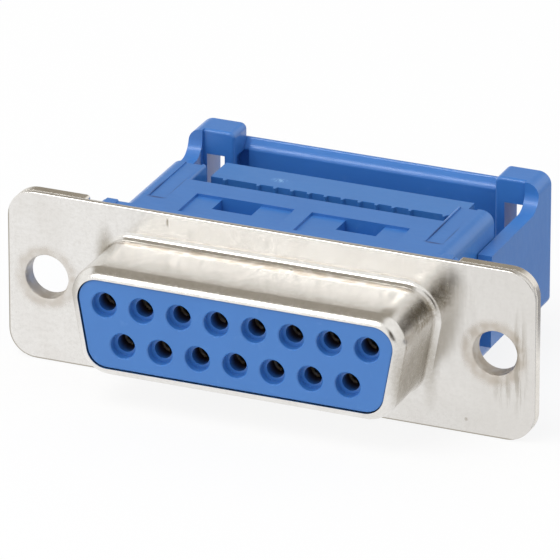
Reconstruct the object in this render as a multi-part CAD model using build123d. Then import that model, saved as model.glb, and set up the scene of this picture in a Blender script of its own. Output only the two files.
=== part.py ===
"""Fifteen-way flat-cable socket connector: one STEP file per piece, in millimetres.

X runs along the flange, Y points away from the mating face, Z points up. The origin is
on the flange's front face, midway between the two mounting holes.
"""
import os

from build123d import *
from math import cos, radians, tan

os.makedirs("parts", exist_ok=True)

# Contact grid and mounting holes, from the standard size for this number of ways
PITCH = 2.77
ROW_GAP = 2.84
WAY_COUNT = (8, 7)
HOLE_SPACING = 33.32
HOLE_R = 1.55

# Front shell
SHEET = 0.4
FLANGE_END = 2.91
FLANGE_W = HOLE_SPACING + 2 * FLANGE_END
FLANGE_H = 12.5
FLANGE_CORNER_R = 2.0
FLANGE_EDGE_R = 0.12
FLANGE_BACK_R = 0.08
SHROUD_W = 24.66
SHROUD_H = 7.90
SHROUD_DEPTH = 6.0
SHROUD_ANGLE = 10.0
SHROUD_CORNER_R = 2.18
SHROUD_TIP_R = 1.0
SHROUD_ROOT_R = 0.5
SHROUD_BACK_R = 0.8
MOUTH_INSET = 0.70
HOLE_LEAD_R = 0.3
EYELET_WALL = 0.38
EYELET_LIP = 0.35
EYELET_LIP_T = 0.16
EYELET_MOUTH = 0.2

# Rear ears, one behind each end of the flange
EAR_T = 0.72
EAR_REACH = 2.91
EAR_INNER_X = HOLE_SPACING / 2 - EAR_REACH
EAR_TONGUE_LEN = 1.1
EAR_TONGUE_X = EAR_INNER_X - EAR_TONGUE_LEN
EAR_TONGUE_H = 8.0
EAR_STEP_T = 0.40
EAR_TONGUE_LAP = 0.45
EAR_CORNER_R = 0.25
EAR_EDGE_R = 0.1
EAR_FIT = 0.03

# Housing
FACE_Y = -5.85
NOSE_GAP = 0.05
NOSE_EDGE_R = 0.1
NOSE_STEP_Y = -4.8
NOSE_FIT = 0.05
BASE_W = 26.5
BASE_H = 11.44
BASE_BACK_Y = 2.0
BASE_CORNER_R = 0.3
TONGUE_FIT = 0.05
LUG_IN = 0.75
LUG_W = 0.9
LUG_H = 0.12
LUG_R = 0.1
BODY_W = 24.3
BODY_H = 10.7
BODY_EDGE_R = 0.9
MID_BACK_Y = 8.3
END_BACK_Y = 11.2
SLOT_HALF_W = 9.42
SLOT_EDGE_R = 0.25
POCKET_CLEAR = 0.15
RECESS_X0 = 0.65
RECESS_X1 = 7.95
RECESS_BACK_Y = 6.2
RECESS_DEPTH = 0.2
WINDOW_X0 = 3.15
WINDOW_X1 = 6.1
WINDOW_Y0 = 4.45
WINDOW_DEPTH = 1.3
TONGUE_X0 = 9.7
TONGUE_X1 = 10.95
TONGUE_Y0 = 4.6
TONGUE_DEPTH = 0.1

# Sockets in the face and the contacts inside them
COUNTERBORE_R = 0.915
COUNTERBORE_DEPTH = 0.65
ENTRY_R = 0.65
ENTRY_DEPTH = 1.2
RIM_CHAMFER = 0.07
TUBE_R = 0.84
TUBE_BORE_R = 0.53
TUBE_BACK_Y = 1.6
TUBE_FIT = 0.02
TUBE_END_GAP = 0.05
BEAM_SLIT = 0.16
BEAM_SLIT_BACK_Y = -1.6
STRIP_T = 0.28
STRIP_HALF_W = 0.35
STRIP_FIT = 0.04
BEND_Y0 = 2.4
BEND_Y1 = 4.2
FORK_HALF_W = 0.55
FORK_TIP_Y = 10.9
FORK_SLIT = 0.26
FORK_SLIT_Y0 = 8.95

# Cable cover, drawn in its open position
WIRE_PITCH = 1.27
CABLE_T = 0.9
MISSING_RIDGES = (-5.5, 5.5)
COVER_CLEAR = 0.05
COVER_HALF_W = SLOT_HALF_W - COVER_CLEAR
COVER_H = 8.5
COVER_FRONT_Y = 11.8
COVER_T = 2.75
COVER_BACK_Y = COVER_FRONT_Y + COVER_T
RIDGE_H = 0.3
RIDGE_TIP = 0.16
RIDGE_ROOT = 0.32
COVER_TRAVEL = COVER_FRONT_Y - RIDGE_H - MID_BACK_Y - CABLE_T
LEG_OUT = 0.3
LEG_X0 = SLOT_HALF_W + LEG_OUT
LEG_T = 1.2
LEG_X1 = LEG_X0 + LEG_T
LEG_H = 6.2
LEG_LEN = 5.2
LEG_ROOT_T = 1.1
LEG_CLEAR = 0.05
FORK_SLOT_DEPTH = 1.6
FORK_SLOT_CLEAR = 0.06

# Strain relief, drawn in its waiting position
ARM_CLEAR = 0.05
ARM_X0 = BODY_W / 2 + ARM_CLEAR
ARM_T = 1.05
ARM_X1 = ARM_X0 + ARM_T
ARM_FRONT_Y = 8.05
ARM_H = 6.84
POST_W = 2.35
POST_X0 = ARM_X0 - POST_W
POST_FRONT_Y = 17.1
PLATE_FRONT_Y = 16.85
RELIEF_BACK_Y = 19.5
RELIEF_TOP = 5.38
RELIEF_BOTTOM = 4.6
PLATE_EDGE_R = 0.3
PLATE_INSIDE_R = (1.3, 0.9)
PLATE_TOP_R = 0.95
PLATE_LOW_R = 0.6
PLATE_REAR_T = 1.3
POST_TOP_R = 0.45
POST_FRONT_R = 0.25
POST_LOW = 3.53
COLUMN_W = 0.75
POCKET_IN = 0.4
POCKET_WALL = 0.3
BAR_T = 0.65
BAR_FRONT_Y = RELIEF_BACK_Y - BAR_T
BAR_IN = 0.55
BAR_LEDGE = 0.2
BAR_TOP = 4.32
BAR_SLOPE_Z = 3.66
BAR_EDGE_R = 0.3
HOOK_DEPTH = 0.45
HOOK_LEN = 0.8
HOOK_H = 2.8
HOOK_CLEAR = 0.1
RELIEF_STOP_GAP = 0.3
RELIEF_TRAVEL = BAR_FRONT_Y - COVER_BACK_Y - RELIEF_STOP_GAP


def box(x0, x1, y0, y1, z0, z1):
    """Solid box between two corners."""
    size = (abs(x1 - x0), abs(y1 - y0), abs(z1 - z0))
    return Pos((x0 + x1) / 2, (y0 + y1) / 2, (z0 + z1) / 2) * Box(*size)


def both_sides(solid):
    """The solid and its mirror image across the plane x = 0."""
    return [solid, solid.mirror(Plane.YZ)]


def along_y(sketch, y0, y1):
    """Sketch drawn as (x, z), run from y0 back to y1."""
    plane = Plane(origin=(0, y1, 0), x_dir=(1, 0, 0), z_dir=(0, -1, 0))
    return extrude(plane * sketch, amount=y1 - y0)


def along_z(points, z0, z1):
    """Closed (x, y) outline run from z0 up to z1."""
    return Pos(0, 0, z0) * extrude(make_face(Polyline(*points, close=True)), amount=z1 - z0)


def along_x(points, x0, x1):
    """Closed (y, z) outline run from x0 to x1."""
    plane = Plane(origin=(x0, 0, 0), x_dir=(0, 1, 0), z_dir=(1, 0, 0))
    return extrude(plane * make_face(Polyline(*points, close=True)), amount=x1 - x0)


def d_shape(inset):
    """The shroud's outline, moved inwards by inset."""
    half_h = SHROUD_H / 2 - inset
    corner = SHROUD_CORNER_R - inset
    slope = tan(radians(SHROUD_ANGLE))
    centre_x = SHROUD_W / 2 - SHROUD_CORNER_R
    centre_z = SHROUD_H / 2 - SHROUD_CORNER_R
    reach = corner / cos(radians(SHROUD_ANGLE))
    top = centre_x + (half_h - centre_z) * slope + reach
    bottom = centre_x + (-half_h - centre_z) * slope + reach
    trapezoid = Polygon((-top, half_h), (-bottom, -half_h), (bottom, -half_h), (top, half_h),
                        align=None)
    return fillet(trapezoid.vertices(), corner)


def edges_at(solid, y, half_w, half_h):
    """Edges lying in the plane at y, inside the given half width and half height."""
    found = []
    for edge in solid.edges():
        size = edge.bounding_box()
        flat = abs(size.min.Y - y) < 1e-4 and abs(size.max.Y - y) < 1e-4
        if flat and max(abs(size.min.X), abs(size.max.X)) < half_w \
                and max(abs(size.min.Z), abs(size.max.Z)) < half_h:
            found.append(edge)
    return found


def grid():
    """Socket centre x, row z and the x of its wire, for each way from left to right."""
    ways = []
    for count, z in zip(WAY_COUNT, (ROW_GAP / 2, -ROW_GAP / 2)):
        for i in range(count):
            step = i - (count - 1) / 2
            ways.append((step * PITCH, z, step * 2 * WIRE_PITCH))
    return ways


def flange_outline(x0, x1):
    """Flange outline between two x values, with the flange's own corners."""
    outline = RectangleRounded(FLANGE_W, FLANGE_H, FLANGE_CORNER_R)
    return outline & Pos((x0 + x1) / 2, 0) * Rectangle(x1 - x0, 2 * FLANGE_H)


def turned(points, x):
    """Closed (radius, y) outline turned round the line through (x, z = 0) along Y."""
    face = make_face(Polyline(*points, close=True))
    return Pos(x, 0, 0) * revolve(face, axis=Axis.Y)


def front_shell():
    """Drawn front shell with its D-shaped shroud and the two eyelets."""
    shroud = along_y(d_shape(0), -SHROUD_DEPTH, SHEET / 2)
    shroud = fillet(edges_at(shroud, -SHROUD_DEPTH, SHROUD_W, SHROUD_H), SHROUD_TIP_R)
    flange = along_y(RectangleRounded(FLANGE_W, FLANGE_H, FLANGE_CORNER_R), 0, SHEET)
    flange = fillet(edges_at(flange, 0, FLANGE_W, FLANGE_H), FLANGE_EDGE_R)
    flange = fillet(edges_at(flange, SHEET, FLANGE_W, FLANGE_H), FLANGE_BACK_R)
    shell = flange + shroud
    shell = fillet(edges_at(shell, 0, SHROUD_W / 2 + 0.1, SHROUD_H / 2 + 0.1), SHROUD_ROOT_R)
    cavity = along_y(d_shape(SHEET), SHEET - SHROUD_DEPTH, SHEET)
    cavity = fillet(edges_at(cavity, SHEET - SHROUD_DEPTH, SHROUD_W, SHROUD_H),
                    SHROUD_TIP_R - SHEET)
    mouth = along_y(d_shape(MOUTH_INSET), -SHROUD_DEPTH - 1, SHROUD_TIP_R - SHROUD_DEPTH)
    shell = shell - cavity - mouth
    shell = fillet(edges_at(shell, SHEET, SHROUD_W / 2 + 0.1, SHROUD_H / 2 + 0.1),
                   SHROUD_BACK_R)
    wall = HOLE_R + EYELET_WALL
    lip = wall + EYELET_LIP
    back = SHEET + EAR_T + 0.02
    end = back + EYELET_LIP_T
    eyelet = [(0, SHEET / 2), (wall, SHEET / 2), (wall, back), (lip, back),
              (lip, (back + end) / 2), ((wall + lip) / 2, end), (0, end)]
    lead = HOLE_R + HOLE_LEAD_R
    hole = [(0, -SHEET), (lead, -SHEET), (lead, 0),
            (HOLE_R + 0.3 * HOLE_LEAD_R, 0.3 * HOLE_LEAD_R), (HOLE_R, HOLE_LEAD_R),
            (HOLE_R, back), (HOLE_R + EYELET_MOUTH, end), (HOLE_R + EYELET_MOUTH, end + SHEET),
            (0, end + SHEET)]
    for x in (-HOLE_SPACING / 2, HOLE_SPACING / 2):
        shell = shell + turned(eyelet, x) - turned(hole, x)
    return shell


def rear_ear():
    """Right-hand rear ear; its tongue steps back over the housing's base."""
    y0, y1 = SHEET, SHEET + EAR_T
    ear = along_y(flange_outline(EAR_INNER_X, FLANGE_W / 2), y0, y1)
    inner = [e for e in ear.edges().filter_by(Axis.Y) if e.center().X < EAR_INNER_X + 0.01]
    ear = fillet(inner, EAR_CORNER_R)
    rims = edges_at(ear, y0, FLANGE_W, FLANGE_H) + edges_at(ear, y1, FLANGE_W, FLANGE_H)
    ear = fillet(rims, EAR_EDGE_R)
    half = EAR_TONGUE_H / 2
    outer = EAR_INNER_X + EAR_TONGUE_LAP
    ear = ear + box(EAR_INNER_X - EAR_STEP_T, outer, y0, y1 + EAR_T, -half, half)
    ear = ear + box(EAR_TONGUE_X, outer, y1, y1 + EAR_T, -half, half)
    hole_r = HOLE_R + EYELET_WALL + EAR_FIT
    hole = turned([(0, 0), (hole_r, 0), (hole_r, 2 * y1), (0, 2 * y1)], HOLE_SPACING / 2)
    return ear - hole


def contact_outline(x, wire_x, grow):
    """Plan outline of a contact's flat strip and fork, widened all round by grow."""
    wide = TUBE_R - 0.1 + grow
    slim = STRIP_HALF_W + grow
    fork = FORK_HALF_W + grow
    y0 = TUBE_BACK_Y - 0.8
    right = [(x + wide, y0), (x + wide, TUBE_BACK_Y), (x + slim, BEND_Y0),
             (wire_x + slim, BEND_Y1), (wire_x + fork, BEND_Y1 + 0.8),
             (wire_x + fork, FORK_TIP_Y - 0.3), (wire_x + fork - 0.15, FORK_TIP_Y)]
    left = [(x - wide, y0), (x - wide, TUBE_BACK_Y), (x - slim, BEND_Y0),
            (wire_x - slim, BEND_Y1), (wire_x - fork, BEND_Y1 + 0.8),
            (wire_x - fork, FORK_TIP_Y - 0.3), (wire_x - fork + 0.15, FORK_TIP_Y)]
    return right + left[::-1]


def contact(x, z, wire_x):
    """One stamped contact: slit socket tube, offset strip and two-pronged fork."""
    front = FACE_Y + COUNTERBORE_DEPTH + ENTRY_DEPTH + TUBE_END_GAP
    tube = turned([(TUBE_BORE_R, front + 0.1), (TUBE_BORE_R + 0.1, front), (TUBE_R - 0.06, front),
                   (TUBE_R, front + 0.12), (TUBE_R, TUBE_BACK_Y), (TUBE_BORE_R, TUBE_BACK_Y)], 0)
    tube = tube - box(-BEAM_SLIT / 2, BEAM_SLIT / 2, front - 1, BEAM_SLIT_BACK_Y, -2, 2)
    strip = along_z(contact_outline(x, wire_x, 0), z - STRIP_T / 2, z + STRIP_T / 2)
    half = FORK_SLIT / 2
    slit = [(wire_x - half, FORK_SLIT_Y0), (wire_x - half, FORK_TIP_Y - 0.35),
            (wire_x - FORK_HALF_W + 0.2, FORK_TIP_Y + 0.1),
            (wire_x + FORK_HALF_W - 0.2, FORK_TIP_Y + 0.1),
            (wire_x + half, FORK_TIP_Y - 0.35), (wire_x + half, FORK_SLIT_Y0)]
    return Pos(x, 0, z) * tube + strip - along_z(slit, z - 1, z + 1)


def nose():
    """Front of the housing that fills the shroud, before the sockets are cut."""
    front = along_y(d_shape(MOUTH_INSET + NOSE_GAP), FACE_Y, NOSE_STEP_Y + 0.1)
    front = fillet(edges_at(front, FACE_Y, SHROUD_W, SHROUD_H), NOSE_EDGE_R)
    return front + along_y(d_shape(SHEET + NOSE_FIT), NOSE_STEP_Y, SHEET + 0.2)


def base():
    """Plate of the housing that lies against the back of the front shell."""
    half_w, half_h = BASE_W / 2, BASE_H / 2
    plate = box(-half_w, half_w, SHEET, BASE_BACK_Y, -half_h, half_h)
    plate = fillet(plate.edges().filter_by(Axis.Y), BASE_CORNER_R)
    half = EAR_TONGUE_H / 2 + 2 * TONGUE_FIT
    notch = box(EAR_TONGUE_X - TONGUE_FIT, half_w + 1, SHEET + EAR_T, 2 * BASE_BACK_Y, -half, half)
    for side in both_sides(notch):
        plate = plate - side
    lug_x = half_w - LUG_IN
    for z in (half_h, -half_h):
        lug = box(lug_x - LUG_W / 2, lug_x + LUG_W / 2, SHEET, BASE_BACK_Y, z - LUG_H, z + LUG_H)
        for side in both_sides(fillet(lug.edges().filter_by(Axis.Y), LUG_R)):
            plate = plate + side
    return plate


def leg_root():
    """Front and back of the step that joins each leg to the cover's end."""
    return COVER_FRONT_Y - 0.8, COVER_FRONT_Y - 0.8 + LEG_ROOT_T


def body():
    """Rear block of the housing, with its end blocks, recesses and latch pockets."""
    half_w, half_h = BODY_W / 2, BODY_H / 2
    block = box(-half_w, half_w, BASE_BACK_Y - 0.5, END_BACK_Y, -half_h, half_h)
    block = fillet(block.edges().filter_by(Axis.Y), BODY_EDGE_R)
    past = END_BACK_Y + BODY_EDGE_R
    block = block - box(-SLOT_HALF_W, SLOT_HALF_W, MID_BACK_Y, past, -BODY_H, BODY_H)
    slot_edges = [e for e in block.edges().filter_by(Axis.Y)
                  if abs(abs(e.center().X) - SLOT_HALF_W) < 0.01 and e.center().Y > MID_BACK_Y]
    block = fillet(slot_edges, SLOT_EDGE_R)
    cuts = []
    leg_z = LEG_H / 2 + LEG_CLEAR
    root_y0, root_y1 = leg_root()
    leg_y = root_y1 - LEG_LEN - COVER_TRAVEL - POCKET_CLEAR
    cuts += both_sides(box(LEG_X0 - LEG_CLEAR, LEG_X1 + LEG_CLEAR, leg_y, past, -leg_z, leg_z))
    pocket_y = root_y0 - COVER_TRAVEL - POCKET_CLEAR
    cuts += both_sides(box(SLOT_HALF_W - LEG_CLEAR, LEG_X0, pocket_y, past, -leg_z, leg_z))
    hook_x = ARM_X0 - HOOK_DEPTH - HOOK_CLEAR
    hook_z = HOOK_H / 2 + HOOK_CLEAR
    hook_y0 = ARM_FRONT_Y - RELIEF_TRAVEL - HOOK_CLEAR
    hook_y1 = ARM_FRONT_Y + HOOK_LEN + HOOK_CLEAR
    cuts += both_sides(box(hook_x, 2 * half_w, hook_y0, hook_y1, -hook_z, hook_z))
    for top in (half_h, -half_h):
        inner = top - RECESS_DEPTH if top > 0 else top + RECESS_DEPTH
        deep = top - WINDOW_DEPTH if top > 0 else top + WINDOW_DEPTH
        low = top - TONGUE_DEPTH if top > 0 else top + TONGUE_DEPTH
        out = 2 * top
        cuts += both_sides(box(RECESS_X0, RECESS_X1, BASE_BACK_Y, RECESS_BACK_Y, inner, out))
        cuts += both_sides(box(WINDOW_X0, WINDOW_X1, WINDOW_Y0, RECESS_BACK_Y, deep, out))
        cuts += both_sides(box(TONGUE_X0, TONGUE_X1, TONGUE_Y0, past, low, out))
    for cut in cuts:
        block = block - cut
    return block


def housing():
    """Moulded housing: nose, base and body in one piece, with a seat for every contact."""
    solid = nose() + base() + body()
    front = FACE_Y + COUNTERBORE_DEPTH
    seat = turned([(0, FACE_Y - 1), (COUNTERBORE_R + RIM_CHAMFER, FACE_Y - 1),
                   (COUNTERBORE_R + RIM_CHAMFER, FACE_Y), (COUNTERBORE_R, FACE_Y + RIM_CHAMFER),
                   (COUNTERBORE_R, front), (ENTRY_R, front), (ENTRY_R, front + ENTRY_DEPTH),
                   (TUBE_R + TUBE_FIT, front + ENTRY_DEPTH), (TUBE_R + TUBE_FIT, TUBE_BACK_Y + 0.3),
                   (0, TUBE_BACK_Y + 0.3)], 0)
    half = STRIP_T / 2 + STRIP_FIT
    for x, z, wire_x in grid():
        channel = along_z(contact_outline(x, wire_x, STRIP_FIT), z - half, z + half)
        solid = solid - Pos(x, 0, z) * seat - channel
    return solid


def cable_cover():
    """Cover that presses the flat cable onto the forks, with its comb and its two legs."""
    half_h = COVER_H / 2
    tip = COVER_FRONT_Y - RIDGE_H
    comb = [(COVER_HALF_W, COVER_FRONT_Y), (COVER_HALF_W, COVER_BACK_Y),
            (-COVER_HALF_W, COVER_BACK_Y), (-COVER_HALF_W, COVER_FRONT_Y)]
    for i in range(sum(WAY_COUNT) - 1):
        place = i - (sum(WAY_COUNT) - 2) / 2
        if place in MISSING_RIDGES:
            continue
        x = place * WIRE_PITCH
        comb += [(x - RIDGE_ROOT / 2, COVER_FRONT_Y), (x - RIDGE_TIP / 2, tip),
                 (x + RIDGE_TIP / 2, tip), (x + RIDGE_ROOT / 2, COVER_FRONT_Y)]
    cover = along_z(comb, -half_h, half_h)
    leg_h = LEG_H / 2
    root_y0, root_y1 = leg_root()
    inner = COVER_HALF_W - LEG_OUT
    leg = [(inner, root_y0), (LEG_X0, root_y0), (LEG_X0, root_y1 - LEG_LEN),
           (LEG_X1 - LEG_CLEAR, root_y1 - LEG_LEN), (LEG_X1, root_y1 - LEG_LEN + LEG_T / 2),
           (LEG_X1, root_y1), (LEG_X0 + LEG_CLEAR, root_y1), (COVER_HALF_W, COVER_BACK_Y),
           (inner, COVER_BACK_Y)]
    for side in both_sides(along_z(leg, -leg_h, leg_h)):
        cover = cover + side
    half = FORK_HALF_W + FORK_SLOT_CLEAR
    thick = STRIP_T / 2 + FORK_SLOT_CLEAR
    for x, z, wire_x in grid():
        cover = cover - box(wire_x - half, wire_x + half, root_y0 - 1,
                            COVER_FRONT_Y + FORK_SLOT_DEPTH, z - thick, z + thick)
    return cover


def relief_outline(x0, radii):
    """Rear view of a side of the relief from x0 outwards; radii of its four corners."""
    corners = [(x0, RELIEF_TOP), (x0, -RELIEF_BOTTOM), (ARM_X1, -RELIEF_BOTTOM), (ARM_X1, RELIEF_TOP)]
    outline = Polygon(*corners, align=None)
    for corner, radius in zip(corners, radii):
        near = outline.vertices().sort_by_distance((corner[0], corner[1], 0))[0]
        outline = fillet(near, radius)
    return outline


def relief_side():
    """Right-hand side of the relief: corner posts, column, plate, arm and hook."""
    arm_h = ARM_H / 2
    side = [(ARM_FRONT_Y, -arm_h), (PLATE_FRONT_Y, -arm_h), (PLATE_FRONT_Y, -RELIEF_BOTTOM),
            (RELIEF_BACK_Y, -RELIEF_BOTTOM), (RELIEF_BACK_Y, RELIEF_TOP),
            (PLATE_FRONT_Y, RELIEF_TOP), (PLATE_FRONT_Y, arm_h), (ARM_FRONT_Y, arm_h)]
    plate = along_x(side, ARM_X0, ARM_X1)
    for radius, z in zip(PLATE_INSIDE_R, (arm_h, -arm_h)):
        inside = [e for e in plate.edges().filter_by(Axis.X)
                  if abs(e.center().Y - PLATE_FRONT_Y) < 0.01 and abs(e.center().Z - z) < 0.01]
        plate = fillet(inside, radius)
    radii = (POST_TOP_R, POST_TOP_R, PLATE_LOW_R, PLATE_TOP_R)
    plate = plate & along_y(relief_outline(POST_X0, radii), 0, RELIEF_BACK_Y)
    posts = along_y(relief_outline(POST_X0, radii), POST_FRONT_Y, RELIEF_BACK_Y)
    posts = fillet(edges_at(posts, POST_FRONT_Y, ARM_X1 + 1, RELIEF_TOP + 1), POST_FRONT_R)
    window = box(POST_X0 + COLUMN_W, ARM_X1 - PLATE_REAR_T, POST_FRONT_Y - 1, RELIEF_BACK_Y + 1,
                 -POST_LOW, POST_LOW)
    solid = plate + (posts - window)
    rear = [e for e in edges_at(solid, RELIEF_BACK_Y, ARM_X1 + 1, RELIEF_TOP + 1)
            if abs(e.center().Z) > POST_LOW + 0.1 or e.center().X > ARM_X1 - 0.1
            or e.center().X < POST_X0 + 0.1]
    solid = fillet(rear, PLATE_EDGE_R)
    half = HOOK_H / 2
    hook = [(ARM_X0 + 0.1, ARM_FRONT_Y), (ARM_X0, ARM_FRONT_Y),
            (ARM_X0 - HOOK_DEPTH, ARM_FRONT_Y + HOOK_LEN - 0.15),
            (ARM_X0 - HOOK_DEPTH, ARM_FRONT_Y + HOOK_LEN), (ARM_X0 + 0.1, ARM_FRONT_Y + HOOK_LEN)]
    return solid + along_z(hook, -half, half)


def strain_relief():
    """Clip behind the cover: rear bar, two framed sides and two arms, all one piece."""
    bar = [(BAR_FRONT_Y, -RELIEF_BOTTOM), (RELIEF_BACK_Y, -RELIEF_BOTTOM),
           (RELIEF_BACK_Y, BAR_TOP), (RELIEF_BACK_Y - BAR_LEDGE, BAR_TOP), (BAR_FRONT_Y, BAR_SLOPE_Z)]
    reach = POST_X0 + PLATE_EDGE_R + 0.1
    clip = along_x(bar, -reach, reach)
    brow = [e for e in clip.edges().filter_by(Axis.X)
            if abs(e.center().Y - BAR_FRONT_Y) < 0.01 and e.center().Z > 0]
    clip = fillet(brow, BAR_EDGE_R)
    for side in both_sides(relief_side()):
        clip = clip + side
    pocket = box(POST_X0 - BAR_IN, POST_X0 + COLUMN_W - POCKET_WALL, POST_FRONT_Y + POCKET_IN,
                 RELIEF_BACK_Y - POCKET_WALL, -POST_LOW, POST_LOW)
    for side in both_sides(pocket):
        clip = clip - side
    return clip


ear = rear_ear()
nodes = {"front_shell": front_shell(), "rear_ear_right": ear,
         "rear_ear_left": ear.mirror(Plane.YZ), "housing": housing(),
         "cable_cover": cable_cover(), "strain_relief": strain_relief()}
for number, (x, z, wire_x) in enumerate(grid(), start=1):
    nodes["contact_%02d" % number] = contact(x, z, wire_x)
for name, solid in nodes.items():
    export_step(solid, "parts/%s.step" % name)
    print(name, len(solid.solids()), "solids", round(solid.volume, 2), "mm3")
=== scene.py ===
"""Fifteen-way flat-cable socket connector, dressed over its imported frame.

Sizes are in millimetres and colours are linear. New meshes are modelled in millimetres
with Blender's own operators and scaled to the frame's metres when they are placed.
"""
import logging
import math
from dataclasses import dataclass
from enum import Enum

import bpy
from mathutils import Matrix, Vector


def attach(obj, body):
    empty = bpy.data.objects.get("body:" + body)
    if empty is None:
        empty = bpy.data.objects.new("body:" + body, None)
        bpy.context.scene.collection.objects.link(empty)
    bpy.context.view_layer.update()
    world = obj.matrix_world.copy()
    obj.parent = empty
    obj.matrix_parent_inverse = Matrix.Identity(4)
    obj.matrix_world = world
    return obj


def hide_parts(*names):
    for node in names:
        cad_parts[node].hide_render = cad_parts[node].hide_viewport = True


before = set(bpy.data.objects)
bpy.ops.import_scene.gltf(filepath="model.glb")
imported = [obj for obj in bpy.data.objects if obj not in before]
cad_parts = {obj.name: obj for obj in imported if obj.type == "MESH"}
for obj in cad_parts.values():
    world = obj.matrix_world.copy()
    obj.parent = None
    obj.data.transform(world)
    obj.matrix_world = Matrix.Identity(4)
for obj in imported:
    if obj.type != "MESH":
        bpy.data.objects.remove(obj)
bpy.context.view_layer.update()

MM = 0.001
Y_AXIS = 1
Z_AXIS = 2
MARK_CORE = 0.25
WHITE = (1.0, 1.0, 1.0)

Colour = tuple[float, float, float]
Triple = tuple[float, float, float]
Range = tuple[float, float]
Ramp = tuple[float, float, float, float]
Value = bpy.types.NodeSocket | float | tuple[float, ...]

logging.basicConfig(level=logging.INFO, format="%(message)s")
log = logging.getLogger("connector")


class Body(Enum):
    """The three bodies of the frame that pieces ride on."""

    CONNECTOR = "connector"
    COVER = "cover"
    RELIEF = "relief"


class Slot(Enum):
    """Material slots of the record."""

    SHELL = "plated_steel"
    EAR = "ear_steel"
    HOUSING = "blue_housing"
    COVER = "blue_cover"
    RELIEF = "blue_relief"


class Side(Enum):
    """The two ends of the connector, seen from the mating side."""

    LEFT = "left"
    RIGHT = "right"


@dataclass(frozen=True)
class Pattern:
    """Noise: cells per metre along X, Y and Z, octaves, and the share of the fine ones."""

    cells: Triple
    detail: float
    rough: float = 0.55
    distort: float = 0.0


@dataclass(frozen=True)
class Mark:
    """An oval place on a surface, how strongly it is marked, and how evenly."""

    at_mm: Triple
    reach_mm: Triple
    share: float = 1.0
    evenness: float = 0.1


class Nodes:
    """A node tree, with short ways to add, feed and join nodes."""

    def __init__(self, tree: bpy.types.NodeTree, place: str) -> None:
        """Clear a tree and read its coordinates.

        Args:
            tree: the node tree of a material or a world.
            place: the coordinates that patterns follow.
        """
        self.tree = tree
        self.tree.nodes.clear()
        self.place = self.add("ShaderNodeTexCoord").outputs[place]

    def put(self, value: Value, target: bpy.types.NodeSocket) -> None:
        """Link an output to an input, or set a number or a colour on it.

        Args:
            value: a socket, a number, a vector or a colour with its alpha.
            target: the input.
        """
        if isinstance(value, bpy.types.NodeSocket):
            self.tree.links.new(value, target)
        else:
            target.default_value = value

    def add(self, kind: str, *inputs: Value, **values: object) -> bpy.types.Node:
        """Add a node, set its properties and feed its first inputs.

        Args:
            kind: the node's type name.
            inputs: what goes to the first inputs, in their order.
            values: properties of the node.

        Returns:
            The new node.
        """
        node = self.tree.nodes.new(kind)
        for key, value in values.items():
            setattr(node, key, value)
        for target, value in zip(node.inputs, inputs):
            self.put(value, target)
        return node

    def feed(self, node: bpy.types.Node, inputs: dict[str, Value]) -> None:
        """Feed a node's inputs by their names.

        Args:
            node: the node.
            inputs: what goes to each named input.
        """
        for name, value in inputs.items():
            self.put(value, node.inputs[name])

    def along(self, axis: str) -> bpy.types.NodeSocket:
        """The coordinate along one axis."""
        return self.add("ShaderNodeSeparateXYZ", self.place).outputs[axis]

    def between(self, value: Value, low: float, high: float,
                to_low: float = 0.0, to_high: float = 1.0) -> bpy.types.NodeSocket:
        """Map a range of a value smoothly to another range.

        Args:
            value: what is mapped.
            low: start of the range read.
            high: end of the range read.
            to_low: result at low.
            to_high: result at high.

        Returns:
            The mapped value.
        """
        node = self.add("ShaderNodeMapRange", value, low, high, to_low, to_high,
                        interpolation_type="SMOOTHSTEP")
        return node.outputs["Result"]

    def count(self, operation: str, *values: Value) -> bpy.types.NodeSocket:
        """Work out one value from one, two or three, by a Math node's operation."""
        return self.add("ShaderNodeMath", *values, operation=operation).outputs["Value"]

    def product(self, *values: Value) -> bpy.types.NodeSocket:
        """Multiply values, in their order.

        Args:
            values: two or more numbers or sockets.

        Returns:
            The product.
        """
        result, *others = values
        for value in others:
            result = self.count("MULTIPLY", result, value)
        return result

    def sum(self, first: Value, second: Value, gain: float) -> bpy.types.NodeSocket:
        """First plus gain times second."""
        return self.count("MULTIPLY_ADD", second, gain, first)

    def blend(self, share: Value, first: Value, second: Value) -> bpy.types.NodeSocket:
        """Mix two colours.

        Args:
            share: how much of the second.
            first: a colour or a socket.
            second: a colour or a socket.

        Returns:
            The mixed colour.
        """
        node = self.add("ShaderNodeMix", share, data_type="RGBA")
        colours = [socket for socket in node.inputs if socket.type == "RGBA"]
        for target, value in zip(colours, (first, second)):
            self.put((*value, 1.0) if isinstance(value, tuple) else value, target)
        return next(socket for socket in node.outputs if socket.type == "RGBA")


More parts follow.
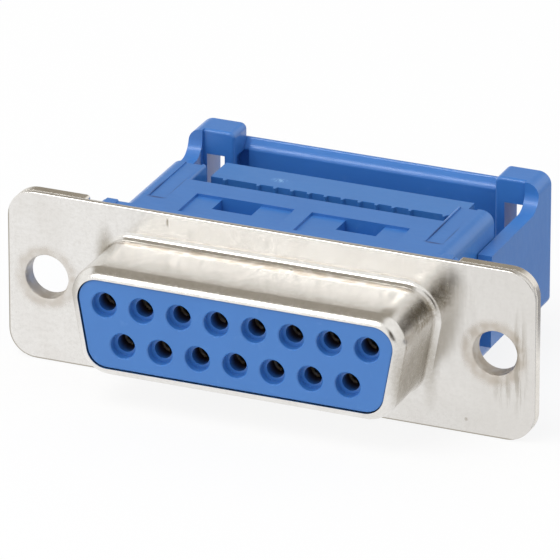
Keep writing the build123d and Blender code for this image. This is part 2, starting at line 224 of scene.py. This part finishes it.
class Sheet(Nodes):
    """A material's node tree, built up to a Principled shader."""

    def __init__(self, name: str) -> None:
        """Start an empty tree with the shader.

        Args:
            name: the material's name.
        """
        self.material = bpy.data.materials.new(name)
        self.material.use_nodes = True
        super().__init__(self.material.node_tree, "Object")
        self.output = self.add("ShaderNodeOutputMaterial")
        self.shader = self.add("ShaderNodeBsdfPrincipled")
        self.put(self.shader.outputs["BSDF"], self.output.inputs["Surface"])

    def noise(self, pattern: Pattern) -> bpy.types.NodeSocket:
        """Noise on stretched object coordinates.

        Args:
            pattern: the noise's cells and octaves.

        Returns:
            The noise's factor.
        """
        stretch = self.add("ShaderNodeMapping", self.place)
        self.feed(stretch, {"Scale": pattern.cells})
        node = self.add("ShaderNodeTexNoise", stretch.outputs["Vector"])
        self.feed(node, {"Scale": 1.0, "Detail": pattern.detail, "Roughness": pattern.rough,
                         "Distortion": pattern.distort})
        return node.outputs["Fac"]

    def nearness(self, mark: Mark, mirrored: bool = False) -> bpy.types.NodeSocket:
        """How near the surface is to the middle of a mark.

        Args:
            mark: the place and its reach.
            mirrored: whether the mark is repeated on every side of the origin.

        Returns:
            1 in the mark's core, 0 at its reach and beyond.
        """
        place = self.place
        if mirrored:
            place = self.add("ShaderNodeVectorMath", place, operation="ABSOLUTE").outputs["Vector"]
        for operation, size_mm in (("SUBTRACT", mark.at_mm), ("DIVIDE", mark.reach_mm)):
            size = tuple(MM * v for v in size_mm)
            place = self.add("ShaderNodeVectorMath", place, size, operation=operation).outputs["Vector"]
        length = self.add("ShaderNodeVectorMath", place, operation="LENGTH")
        return self.between(length.outputs["Value"], MARK_CORE, 1.0, 1.0, 0.0)

    def bump(self, height: bpy.types.NodeSocket, depth_mm: float) -> None:
        """Raise the surface by a height map.

        Args:
            height: the map.
            depth_mm: millimetres between 0 and 1 of the map.
        """
        node = self.add("ShaderNodeBump")
        self.feed(node, {"Distance": depth_mm * MM, "Strength": 1.0, "Height": height})
        self.feed(self.shader, {"Normal": node.outputs["Normal"]})


@dataclass(frozen=True)
class MouldedPlastic:
    """Blue glass-filled polyester with a satin skin."""

    name: str
    colour: Colour
    pale: Colour
    deep: Colour
    roughness: float = 0.34
    index: float = 1.52
    coat: float = 0.25
    coat_roughness: float = 0.16
    grain_mm: float = 0.0030
    flow_height: float = 1.5
    cloud: Pattern = Pattern((260, 260, 260), 3)
    grain: Pattern = Pattern((5200, 5200, 5200), 3, 0.6)
    flow: Pattern = Pattern((900, 2600, 900), 5, 0.6, 0.6)
    chalk: Pattern = Pattern((5200, 2200, 5200), 4, 0.7)
    cloud_ramp: Ramp = (0.3, 0.7, 0.0, 0.55)
    flow_ramp: Ramp = (0.58, 0.80, 0.0, 0.22)
    chalk_ramp: Ramp = (0.42, 0.58, 0.0, 1.0)
    gloss_read: Range = (0.25, 0.75)
    gloss_swing: Range = (-0.06, 0.07)
    scuffs: tuple[Mark, ...] = ()
    # Painted shade: dark lines where the grooves round the tongues fall in shade.
    groove_shades: tuple[Mark, ...] = ()
    groove_shade_colour: Colour = (0.014, 0.060, 0.22)
    dim_depth_mm: Range | None = None
    dim_colour: Colour = (0.040, 0.028, 0.036)
    dim_half_mm: float = 2.6

    def marked(self, sheet: Sheet, tone: bpy.types.NodeSocket) -> bpy.types.NodeSocket:
        """Rub the scuffs pale and paint the shade of the grooves round the tongues as dark lines.

        Args:
            sheet: the node tree.
            tone: the plastic's colour so far.

        Returns:
            The colour with its marks.
        """
        for scuff in self.scuffs:
            chalk = sheet.between(sheet.noise(self.chalk), *self.chalk_ramp)
            rubbed = sheet.product(sheet.nearness(scuff), chalk, scuff.share)
            tone = sheet.blend(rubbed, tone, self.pale)
        for groove_shade in self.groove_shades:
            line = sheet.product(sheet.nearness(groove_shade, mirrored=True), groove_shade.share)
            tone = sheet.blend(line, tone, self.groove_shade_colour)
        return tone

    def dimness(self, sheet: Sheet) -> bpy.types.NodeSocket:
        """Little light reaches the bottom of the sockets.

        Args:
            sheet: the node tree.

        Returns:
            1 deep in the sockets, 0 at their mouths and elsewhere.
        """
        depth = sheet.along("Y")
        below = sheet.between(depth, *(MM * v for v in self.dim_depth_mm))
        front = sheet.count("LESS_THAN", depth, 0.0)
        height = sheet.count("ABSOLUTE", sheet.along("Z"))
        inner = sheet.count("LESS_THAN", height, MM * self.dim_half_mm)
        return sheet.product(below, front, inner)

    def material(self) -> bpy.types.Material:
        """Build the material.

        Returns:
            The finished material.
        """
        sheet = Sheet(self.name)
        flow = sheet.noise(self.flow)
        tone = sheet.blend(sheet.between(sheet.noise(self.cloud), *self.cloud_ramp), self.colour, self.deep)
        tone = sheet.blend(sheet.between(flow, *self.flow_ramp), tone, self.pale)
        tone = self.marked(sheet, tone)
        if self.dim_depth_mm:
            tone = sheet.blend(self.dimness(sheet), tone, self.dim_colour)
        gloss = sheet.between(flow, *self.gloss_read, *(self.roughness + v for v in self.gloss_swing))
        sheet.feed(sheet.shader, {"Base Color": tone, "Roughness": gloss, "IOR": self.index,
                                  "Coat Weight": self.coat, "Coat Roughness": self.coat_roughness})
        sheet.bump(sheet.sum(sheet.noise(self.grain), flow, self.flow_height), self.grain_mm)
        return sheet.material


@dataclass(frozen=True)
class PlatedSteel:
    """Plated sheet with rolling marks, stains and rubbed rings, and with painted shade and painted dark
    reflections.
    """

    name: str
    colour: Colour
    dull: Colour
    stain_and_shade: Colour
    roughness: float
    brushed: Pattern
    halo_and_reflection: Colour = (0.50, 0.43, 0.35)
    worn_and_shaded: Colour = (0.66, 0.635, 0.60)
    grain_mm: float = 0.0016
    speck_height: float = 0.35
    ripple_mm: float = 0.0
    cloud: Pattern = Pattern((330, 330, 330), 4, 0.6)
    specks: Pattern = Pattern((7000, 7000, 7000), 2)
    ripple: Pattern = Pattern((1300, 1300, 1300), 2, 0.4)
    blotch: Pattern = Pattern((2600, 2600, 3400), 7, 0.82)
    cloud_ramp: Ramp = (0.35, 0.75, 0.0, 0.6)
    brushed_ramp: Ramp = (0.52, 0.78, 0.0, 0.35)
    blotch_ramp: Ramp = (0.42, 0.64, 0.0, 0.36)
    gloss_read: Range = (0.2, 0.8)
    gloss_swing: Range = (-0.06, 0.08)
    stains_and_reflections: tuple[Mark, ...] = ()
    stain_and_reflection_read: Range = (0.36, 0.60)
    streaks: tuple[Mark, ...] = ()
    streak_read: Range = (0.44, 0.58)
    worn_and_shaded_roughness: float = 0.12
    rings: tuple[Mark, ...] = ()
    ring_read: Range = (0.0, 0.35)
    ring_ramp: Ramp = (0.3, 0.65, 0.45, 1.0)
    ring_roughness: float = 0.30
    rim_half_mm: Range | None = None
    rim_corner_mm: float = 2.0
    rim_front_mm: float = 0.2
    rim_mm: Range = (0.17, 0.06)
    rim_share: float = 0.90
    right_shade_mm: Range | None = None
    right_shade_share: float = 0.55
    bore_mm: Range | None = None
    bore_roughness: float = 0.42

    def rim_shade(self, sheet: Sheet) -> bpy.types.NodeSocket:
        """Painted shade: a dull, dark line along the left and lower edge of a rounded plate.

        Args:
            sheet: the node tree.

        Returns:
            1 at the very edge, 0 inside the line.
        """
        squares = []
        for axis, half in zip("XZ", self.rim_half_mm):
            shift = sheet.count("ADD", sheet.along(axis), MM * (half - self.rim_corner_mm))
            over = sheet.count("MINIMUM", shift, 0.0)
            squares.append(sheet.product(over, over))
        reach = sheet.count("SQRT", sheet.count("ADD", *squares))
        inside, edge = (MM * (self.rim_corner_mm - v) for v in self.rim_mm)
        front = sheet.count("LESS_THAN", sheet.along("Y"), MM * self.rim_front_mm)
        return sheet.product(sheet.between(reach, inside, edge), front)

    def wear_and_shade(self, sheet: Sheet, blotch: bpy.types.NodeSocket, brushed: bpy.types.NodeSocket) -> Value:
        """Stains and rubbed streaks, with the painted dark reflections among the stains and the painted
        shade of the rim.

        Args:
            sheet: the node tree.
            blotch: the noise that breaks up the stains.
            brushed: the noise that breaks up the streaks.

        Returns:
            1 where wear and painted shade are strongest, 0 where there is neither.
        """
        worn_and_shaded = 0.0
        for marks, noise, read in ((self.stains_and_reflections, blotch, self.stain_and_reflection_read),
                                   (self.streaks, brushed, self.streak_read)):
            for mark in marks:
                broken = sheet.between(noise, *read, mark.evenness, 1.0)
                patch = sheet.product(sheet.nearness(mark), broken, mark.share)
                worn_and_shaded = sheet.count("MAXIMUM", worn_and_shaded, patch)
        if self.rim_half_mm:
            worn_and_shaded = sheet.count("MAXIMUM", worn_and_shaded, sheet.product(self.rim_shade(sheet), self.rim_share))
        return worn_and_shaded

    def haze_and_reflection(self, sheet: Sheet, ripple: bpy.types.NodeSocket) -> Value:
        """Cloudy rings where the sheet was drawn, and a painted dark reflection along the shroud's root.

        Args:
            sheet: the node tree.
            ripple: the noise that makes the rings uneven.

        Returns:
            1 where the haze and the painted reflection are thickest, 0 where there is neither.
        """
        haze_and_reflection = 0.0
        for mark in self.rings:
            near = sheet.between(sheet.nearness(mark), *self.ring_read, 0.0, mark.share)
            cloudy = sheet.product(near, sheet.between(ripple, *self.ring_ramp))
            haze_and_reflection = sheet.count("MAXIMUM", haze_and_reflection, cloudy)
        return haze_and_reflection

    def material(self) -> bpy.types.Material:
        """Build the material.

        Returns:
            The finished material.
        """
        sheet = Sheet(self.name)
        brushed = sheet.noise(self.brushed)
        blotch = sheet.noise(self.blotch)
        ripple = sheet.noise(self.ripple)
        haze_and_reflection = self.haze_and_reflection(sheet, ripple)
        worn_and_shaded = self.wear_and_shade(sheet, blotch, brushed)
        tone = sheet.blend(sheet.between(sheet.noise(self.cloud), *self.cloud_ramp), self.colour, self.dull)
        tone = sheet.blend(sheet.between(brushed, *self.brushed_ramp), tone, self.dull)
        tone = sheet.blend(sheet.between(blotch, *self.blotch_ramp), tone, self.worn_and_shaded)
        # Painted shade: the plating turns duller towards the right end.
        if self.right_shade_mm:
            start, end = (MM * v for v in self.right_shade_mm)
            right = sheet.between(sheet.along("X"), start, end, 0.0, self.right_shade_share)
            tone = sheet.blend(right, tone, self.worn_and_shaded)
        # Haze rings round the eyelets, and a painted dark reflection along the root.
        tone = sheet.blend(haze_and_reflection, tone, self.halo_and_reflection)
        # Stains and rubs, with painted dark reflections on the shroud and painted shade on the rim.
        tone = sheet.blend(worn_and_shaded, tone, self.stain_and_shade)
        rough = sheet.between(brushed, *self.gloss_read, *(self.roughness + v for v in self.gloss_swing))
        rough = sheet.sum(rough, worn_and_shaded, self.worn_and_shaded_roughness)
        rough = sheet.sum(rough, haze_and_reflection, self.ring_roughness)
        if self.bore_mm:
            bore = sheet.between(sheet.along("Y"), *(MM * v for v in self.bore_mm))
            rough = sheet.sum(rough, bore, self.bore_roughness)
        sheet.feed(sheet.shader, {"Base Color": tone, "Metallic": 1.0, "Roughness": rough})
        height = sheet.sum(brushed, sheet.noise(self.specks), self.speck_height)
        if self.ripple_mm:
            height = sheet.sum(height, ripple, self.ripple_mm / self.grain_mm)
        sheet.bump(height, self.grain_mm)
        return sheet.material


# Marks of handling and forming, and places of painted shade and painted dark reflection: each has its
# middle, its reach, its share and its evenness.
COVER_SCUFF = Mark((-4.62, 12.99, 4.25), (0.80, 0.46, 0.3), 1.0)
HOUSING_SCUFF = Mark((7.50, 4.35, 5.35), (0.45, 0.22, 0.2), 0.40)
# Painted shade: dark lines along the tongues' recesses, where their grooves and steps fall in shade.
TONGUE_GROOVE_SHADE = (
    Mark((9.70, 6.9, 5.3), (0.09, 2.6, 0.3), 0.75),
    Mark((10.32, 4.56, 5.35), (0.95, 0.26, 0.3), 0.95),
    Mark((10.98, 6.2, 5.3), (0.12, 2.1, 0.3), 0.60),
)
FLANGE_STAINS = (
    Mark((12.85, 0.0, 3.75), (1.05, 0.6, 1.75), 0.80),
    Mark((-7.49, 0.0, 5.62), (0.11, 0.3, 0.42), 1.0, 0.6),
    Mark((14.65, 0.0, -5.20), (0.18, 0.3, 0.18), 0.7, 0.5),
)
FLANGE_RUBS = (
    Mark((18.45, 0.0, -0.40), (0.80, 0.5, 4.6), 0.50, 0.0),
    Mark((17.6, 0.0, -2.6), (1.3, 0.5, 1.6), 0.35, 0.0),
)
# Painted dark reflections: the shroud's sides and upper corners are made darker and browner where they
# mirror dark surroundings.
SHROUD_DARK_REFLECTIONS = (
    Mark((12.0, -2.9, -0.9), (1.0, 5.6, 5.8), 0.74, 0.75),
    Mark((-12.0, -2.9, -0.9), (1.0, 5.6, 5.8), 0.4, 0.75),
    Mark((12.0, -1.9, 2.65), (1.5, 3.7, 1.55), 0.95, 0.4),
    Mark((-12.15, -2.4, 2.0), (1.1, 6.0, 3.6), 0.95, 0.9),
)
DRAWN_RINGS_AND_ROOT_REFLECTION = (
    Mark((-16.66, 0.3, 0.0), (2.85, 3.2, 2.85), 0.50),
    Mark((16.66, 0.3, 0.0), (2.95, 3.2, 2.95), 0.62),
    # Painted dark reflection: this mark makes the line along the shroud's root duller and browner; the two
    # rings above are discolouring round the eyelets.
    Mark((0.0, -0.76, 4.00), (16.0, 0.60, 0.40), 0.80),
)

# The three mouldings get slightly different blues: the housing's is set a little darker as painted shade
# for its brightly lit face, and the relief's a little lighter as painted light for its shaded bar; the
# shell, the ears and the contacts differ a little too.
BLUE_HOUSING = MouldedPlastic(
    "housing_blue", colour=(0.044, 0.190, 0.54), pale=(0.16, 0.35, 0.70), deep=(0.038, 0.172, 0.50),
    scuffs=(HOUSING_SCUFF,), groove_shades=TONGUE_GROOVE_SHADE, dim_depth_mm=(-5.22, -4.2))
BLUE_COVER = MouldedPlastic(
    "cover_blue", colour=(0.050, 0.205, 0.55), pale=(0.20, 0.42, 0.76), deep=(0.044, 0.188, 0.52),
    scuffs=(COVER_SCUFF,))
BLUE_RELIEF = MouldedPlastic(
    "relief_blue", colour=(0.050, 0.204, 0.58), pale=(0.16, 0.35, 0.70), deep=(0.044, 0.186, 0.54))
# The shell carries painted shade on its left and lower rim and towards its right end, and painted dark
# reflections on its shroud and along its root.
SHELL_STEEL = PlatedSteel(
    "shell_nickel", colour=(0.845, 0.830, 0.805), dull=(0.76, 0.735, 0.70), stain_and_shade=(0.27, 0.230, 0.165),
    roughness=0.19, brushed=Pattern((2600, 700, 260), 5, 0.65), grain_mm=0.0010, ripple_mm=0.0012,
    stains_and_reflections=(*FLANGE_STAINS, *SHROUD_DARK_REFLECTIONS), streaks=FLANGE_RUBS, rings=DRAWN_RINGS_AND_ROOT_REFLECTION,
    rim_half_mm=(19.57, 6.25), right_shade_mm=(8.0, 18.0), bore_mm=(0.0, 0.25))
EAR_STEEL = PlatedSteel(
    "ear_nickel", colour=(0.84, 0.80, 0.74), dull=(0.60, 0.56, 0.49), stain_and_shade=(0.30, 0.26, 0.20),
    roughness=0.26, brushed=Pattern((900, 5200, 2600), 5, 0.65))
# The contacts' gilt is set dark as painted shade of the deep sockets they sit in.
CONTACT_METAL = PlatedSteel(
    "contact_gilt", colour=(0.30, 0.22, 0.11), dull=(0.20, 0.14, 0.07), stain_and_shade=(0.12, 0.09, 0.05),
    roughness=0.42, brushed=Pattern((3000, 400, 3000), 5, 0.65))


class Bench:
    """Operator work on one mesh, in millimetres."""

    @staticmethod
    def alone(piece: bpy.types.Object) -> None:
        """Select one object and make it active.

        Args:
            piece: the object.
        """
        bpy.ops.object.select_all(action="DESELECT")
        piece.hide_viewport = False
        piece.select_set(True)
        bpy.context.view_layer.objects.active = piece

    @staticmethod
    def scale(piece: bpy.types.Object, factor: float) -> None:
        """Scale a mesh about the frame's origin."""
        piece.data.transform(Matrix.Scale(factor, 4))

    @staticmethod
    def apply(piece: bpy.types.Object, kind: str, **values: object) -> None:
        """Add a modifier and apply it.

        Args:
            piece: the object.
            kind: the modifier's type.
            values: its properties.
        """
        Bench.alone(piece)
        modifier = piece.modifiers.new(kind.lower(), kind)
        for key, value in values.items():
            setattr(modifier, key, value)
        bpy.ops.object.modifier_apply(modifier=modifier.name)


@dataclass
class EasedPiece:
    """A copy of a frame node whose sharp edges are eased, as tooling leaves them."""

    node: str
    body: Body
    slot: Slot
    finish: MouldedPlastic | PlatedSteel
    edge_mm: float
    segments: int = 2
    crease_deg: float = 28.0
    merge_mm: float = 0.0008
    flat_deg: float = 0.6
    smooth_deg: float = 40.0
    corner_weight: int = 80

    def copied(self) -> bpy.types.Object:
        """Copy the node in millimetres, merged and with its flat faces whole.

        Returns:
            The copy.
        """
        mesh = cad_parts[self.node].data.copy()
        mesh.name = self.node + "_eased"
        piece = bpy.data.objects.new(self.node + "_eased", mesh)
        bpy.context.scene.collection.objects.link(piece)
        mesh.materials.clear()
        Bench.scale(piece, 1 / MM)
        Bench.alone(piece)
        bpy.ops.mesh.customdata_custom_splitnormals_clear()
        bpy.ops.object.mode_set(mode="EDIT")
        bpy.ops.mesh.select_all(action="SELECT")
        bpy.ops.mesh.remove_doubles(threshold=self.merge_mm)
        bpy.ops.mesh.dissolve_limited(angle_limit=math.radians(self.flat_deg))
        bpy.ops.object.mode_set(mode="OBJECT")
        return piece

    def shape(self, piece: bpy.types.Object) -> None:
        """Change the merged copy's form, in millimetres, before its edges are eased."""

    def ease(self, piece: bpy.types.Object) -> None:
        """Round the sharp edges and shade the faces flat up to them.

        Args:
            piece: the shaped copy.
        """
        if self.edge_mm:
            Bench.apply(piece, "BEVEL", width=self.edge_mm, segments=self.segments,
                        limit_method="ANGLE", angle_limit=math.radians(self.crease_deg),
                        use_clamp_overlap=True, harden_normals=False, miter_outer="MITER_ARC")
        Bench.alone(piece)
        bpy.ops.object.shade_smooth_by_angle(angle=math.radians(self.smooth_deg))
        Bench.apply(piece, "WEIGHTED_NORMAL", keep_sharp=True, weight=self.corner_weight)

    def build(self) -> bpy.types.Object:
        """Copy, shape, ease and dress the node, and place the piece in metres.

        Returns:
            The finished piece.
        """
        piece = self.copied()
        self.shape(piece)
        self.ease(piece)
        Bench.scale(piece, MM)
        piece.data.materials.append(self.finish.material())
        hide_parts(self.node)
        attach(piece, self.body.value)
        log.info("%s: %d faces", piece.name, len(piece.data.polygons))
        return piece


@dataclass
class FrontShell(EasedPiece):
    """The drawn shell: flange, shroud and eyelets, with the edges that drawing gives it."""

    node: str = "front_shell"
    body: Body = Body.CONNECTOR
    slot: Slot = Slot.SHELL
    finish: PlatedSteel = SHELL_STEEL
    edge_mm: float = 0.0


@dataclass
class RearEar(EasedPiece):
    """One stamped ear behind an end of the flange."""

    node: str = "rear_ear_left"
    body: Body = Body.CONNECTOR
    slot: Slot = Slot.EAR
    finish: PlatedSteel = EAR_STEEL
    edge_mm: float = 0.10


@dataclass
class Housing(EasedPiece):
    """The moulded housing, with crisp edges."""

    node: str = "housing"
    body: Body = Body.CONNECTOR
    slot: Slot = Slot.HOUSING
    finish: MouldedPlastic = BLUE_HOUSING
    edge_mm: float = 0.05


@dataclass
class CableCover(EasedPiece):
    """The cover that presses the cable onto the forks."""

    node: str = "cable_cover"
    body: Body = Body.COVER
    slot: Slot = Slot.COVER
    finish: MouldedPlastic = BLUE_COVER
    edge_mm: float = 0.09


@dataclass
class StrainRelief(EasedPiece):
    """The relief, with the fuller bar that the photograph shows."""

    node: str = "strain_relief"
    body: Body = Body.RELIEF
    slot: Slot = Slot.RELIEF
    finish: MouldedPlastic = BLUE_RELIEF
    edge_mm: float = 0.14
    segments: int = 3
    bar_half_mm: float = 9.36
    bar_front_mm: float = 18.60
    bar_back_mm: float = 19.35
    bar_low_mm: float = -4.45
    bar_brow_mm: float = 3.95
    bar_top_mm: float = 4.30
    brow_round_mm: float = 0.35
    brow_segments: int = 6
    touch_mm: float = 0.001

    @staticmethod
    def block(low: Vector, high: Vector) -> bpy.types.Object:
        """Add a block between two corners, at the origin.

        Args:
            low: the corner with the smallest values.
            high: the corner with the largest values.

        Returns:
            The block.
        """
        bpy.ops.object.select_all(action="DESELECT")
        bpy.ops.mesh.primitive_cube_add(size=1.0, location=(low + high) / 2, scale=high - low)
        bpy.ops.object.transform_apply(location=True, rotation=True, scale=True)
        return bpy.context.object

    def pick_edge(self, piece: bpy.types.Object, marks: dict[int, float]) -> None:
        """Select, in edit mode, the edges whose two ends both lie at the given places.

        Args:
            piece: the object, which ends up in edit mode.
            marks: the place along each axis that is asked for.
        """
        Bench.alone(piece)
        bpy.ops.object.mode_set(mode="EDIT")
        bpy.ops.mesh.select_mode(type="EDGE")
        bpy.ops.mesh.select_all(action="DESELECT")
        bpy.ops.object.mode_set(mode="OBJECT")
        points = piece.data.vertices
        for edge in piece.data.edges:
            ends = [points[i].co for i in edge.vertices]
            edge.select = all(abs(end[axis] - at) < self.touch_mm
                              for end in ends for axis, at in marks.items())
        bpy.ops.object.mode_set(mode="EDIT")

    def bar(self) -> bpy.types.Object:
        """Full bar with a top that falls gently to the front.

        Returns:
            The bar's block.
        """
        bar = self.block(Vector((-self.bar_half_mm, self.bar_front_mm, self.bar_low_mm)),
                         Vector((self.bar_half_mm, self.bar_back_mm, self.bar_top_mm)))
        self.pick_edge(bar, {Y_AXIS: self.bar_front_mm, Z_AXIS: self.bar_top_mm})
        bpy.ops.transform.translate(value=(0, 0, self.bar_brow_mm - self.bar_top_mm))
        bpy.ops.mesh.bevel(offset=self.brow_round_mm, segments=self.brow_segments)
        bpy.ops.object.mode_set(mode="OBJECT")
        return bar

    def shape(self, piece: bpy.types.Object) -> None:
        """Join the bar to the copied relief.

        Args:
            piece: the copied relief.
        """
        bar = self.bar()
        Bench.apply(piece, "BOOLEAN", object=bar, operation="UNION", solver="EXACT")
        bpy.data.objects.remove(bar, do_unlink=True)


@dataclass
class Contacts:
    """The fifteen plated contacts, kept as the frame has them."""

    count: int = 15
    finish: PlatedSteel = CONTACT_METAL

    def build(self) -> None:
        """Dress every contact with the same finish."""
        metal = self.finish.material()
        for number in range(1, self.count + 1):
            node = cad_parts["contact_%02d" % number]
            node.data.materials.clear()
            node.data.materials.append(metal)
        log.info("contacts: %d dressed", self.count)


@dataclass
class Floor:
    """Pale floor that takes the shadow, and that mirrors see darker behind on the right."""

    z_mm: float = -6.25
    half_mm: float = 3000.0
    colour: Colour = (0.90, 0.90, 0.90)
    roughness: float = 0.9
    glow: float = 0.85
    shade_right_mm: Range = (11.0, 17.0)
    shade_back_mm: Range = (13.0, 20.0)
    shade_colour: Colour = (0.28, 0.28, 0.30)

    def material(self) -> bpy.types.Material:
        """Matt white that glows to the camera and to mirrors.

        Returns:
            The finished material.
        """
        sheet = Sheet("floor_white")
        sheet.feed(sheet.shader, {"Base Color": (*self.colour, 1.0), "Roughness": self.roughness,
                                  "Specular IOR Level": 0.0})
        path = sheet.add("ShaderNodeLightPath")
        mirrored = path.outputs["Is Glossy Ray"]
        seen = sheet.count("MAXIMUM", path.outputs["Is Camera Ray"], mirrored)
        right = sheet.between(sheet.along("X"), *(MM * v for v in self.shade_right_mm))
        back = sheet.between(sheet.along("Y"), *(MM * v for v in self.shade_back_mm))
        tint = sheet.blend(sheet.product(mirrored, right, back), WHITE, self.shade_colour)
        white = sheet.add("ShaderNodeEmission", tint)
        mix = sheet.add("ShaderNodeMixShader", sheet.product(seen, self.glow),
                        sheet.shader.outputs["BSDF"], white.outputs["Emission"])
        sheet.put(mix.outputs["Shader"], sheet.output.inputs["Surface"])
        return sheet.material

    def build(self) -> None:
        """Lay the floor under the connector."""
        bpy.ops.object.select_all(action="DESELECT")
        bpy.ops.mesh.primitive_plane_add(size=2 * self.half_mm * MM, location=(0, 0, self.z_mm * MM))
        floor = bpy.context.object
        floor.name = "studio_floor"
        floor.data.materials.append(self.material())


@dataclass
class Surroundings:
    """Even light all round. Mirrors see a window, and darker places behind and to the right.

    Each range is a direction's share along an axis: front and back along Y, left and right
    along X, low, high and rise along Z.
    """

    even_light: float = 0.77
    plain_colour: Colour = (1.0, 0.995, 0.98)
    window_front: Range = (0.52, 0.62)
    window_low: Range = (0.52, 0.60)
    window_high: Range = (0.70, 0.80)
    window_right: Range = (-0.25, -0.05)
    window_colour: Colour = (8.0, 8.0, 8.0)
    behind_front: Range = (-0.60, -0.42)
    behind_left: Range = (-0.75, -0.55)
    behind_right: Range = (0.0, 0.30)
    behind_rise: Range = (0.08, 0.18)
    behind_colour: Colour = (0.36, 0.33, 0.28)
    right_side: Range = (0.24, 0.42)
    right_rise: Range = (-0.14, 0.04)
    right_front: Range = (0.60, 0.78)
    right_colour: Colour = (0.09, 0.078, 0.065)

    def mirrored(self, sky: Nodes) -> bpy.types.NodeSocket:
        """What metal and plastic mirror.

        Args:
            sky: the world's node tree.

        Returns:
            The colour seen in each direction.
        """
        right, back, up = (sky.along(axis) for axis in "XYZ")
        front = sky.count("MULTIPLY", back, -1.0)
        window = sky.product(sky.between(front, *self.window_front), sky.between(up, *self.window_low),
                             sky.between(up, *self.window_high, 1.0, 0.0),
                             sky.between(right, *self.window_right, 1.0, 0.0))
        behind = sky.product(sky.between(back, *self.behind_front), sky.between(right, *self.behind_left),
                             sky.between(up, *self.behind_rise),
                             sky.between(right, *self.behind_right, 1.0, 0.0))
        beside = sky.product(sky.between(right, *self.right_side), sky.between(up, *self.right_rise),
                             sky.between(front, *self.right_front))
        tint = sky.blend(behind, self.plain_colour, self.behind_colour)
        tint = sky.blend(beside, tint, self.right_colour)
        return sky.blend(window, tint, self.window_colour)

    def build(self) -> None:
        """Set up the world: even light, what mirrors see, and white behind it all."""
        world = bpy.data.worlds.new("studio")
        bpy.context.scene.world = world
        world.use_nodes = True
        sky = Nodes(world.node_tree, "Generated")
        path = sky.add("ShaderNodeLightPath")
        even = sky.add("ShaderNodeBackground", (*WHITE, 1.0), self.even_light)
        glossy = sky.add("ShaderNodeBackground", self.mirrored(sky), 1.0)
        backdrop = sky.add("ShaderNodeBackground", (*WHITE, 1.0), 1.0)
        mixed = sky.add("ShaderNodeMixShader", path.outputs["Is Glossy Ray"],
                        even.outputs["Background"], glossy.outputs["Background"])
        seen = sky.add("ShaderNodeMixShader", path.outputs["Is Camera Ray"],
                       mixed.outputs["Shader"], backdrop.outputs["Background"])
        sky.add("ShaderNodeOutputWorld", seen.outputs["Shader"])


@dataclass(frozen=True)
class Lamp:
    """A square soft lamp that faces the connector and isn't mirrored in it."""

    name: str
    place_mm: Triple
    side_mm: float
    watts: float

    def hang(self) -> None:
        """Put the lamp in the scene."""
        data = bpy.data.lights.new(self.name, "AREA")
        data.shape = "SQUARE"
        data.size = self.side_mm * MM
        data.energy = self.watts
        lamp = bpy.data.objects.new(self.name, data)
        bpy.context.scene.collection.objects.link(lamp)
        lamp.location = Vector(self.place_mm) * MM
        lamp.rotation_euler = (-lamp.location).to_track_quat("-Z", "Y").to_euler()
        lamp.visible_glossy = False


@dataclass
class Camera:
    """The camera, where the photograph was taken from."""

    place_mm: Triple = (204.921, -482.484, 228.536)
    turn_deg: Triple = (66.6852, -0.0737, 22.9547)
    lens: float = 537.04
    sensor: float = 36.0
    near_mm: float = 10.0

    def build(self) -> None:
        """Stand the camera in its place and look through it."""
        data = bpy.data.cameras.new("photo")
        data.lens = self.lens
        data.sensor_width = self.sensor
        data.clip_start = self.near_mm * MM
        camera = bpy.data.objects.new("photo", data)
        bpy.context.scene.collection.objects.link(camera)
        camera.location = Vector(self.place_mm) * MM
        camera.rotation_euler = [math.radians(a) for a in self.turn_deg]
        bpy.context.scene.camera = camera


@dataclass
class Studio:
    """Pale floor, soft light and the photograph's camera."""

    lamps: tuple[Lamp, ...] = (
        Lamp("over", place_mm=(-160.0, -210.0, 500.0), side_mm=320.0, watts=1.2),
        Lamp("left", place_mm=(-520.0, -260.0, 220.0), side_mm=260.0, watts=0.3),
    )

    def build(self) -> None:
        """Set up the whole studio."""
        Floor().build()
        Surroundings().build()
        for lamp in self.lamps:
            lamp.hang()
        Camera().build()
        bpy.context.scene.view_settings.view_transform = "Standard"
        log.info("studio: floor, surroundings, %d lamps and camera", len(self.lamps))


def main() -> None:
    """Build every sub-assembly in order and report it."""
    FrontShell().build()
    for side in Side:
        RearEar("rear_ear_" + side.value).build()
    Housing().build()
    CableCover().build()
    StrainRelief().build()
    Contacts().build()
    Studio().build()


if __name__ == "__main__":
    main()
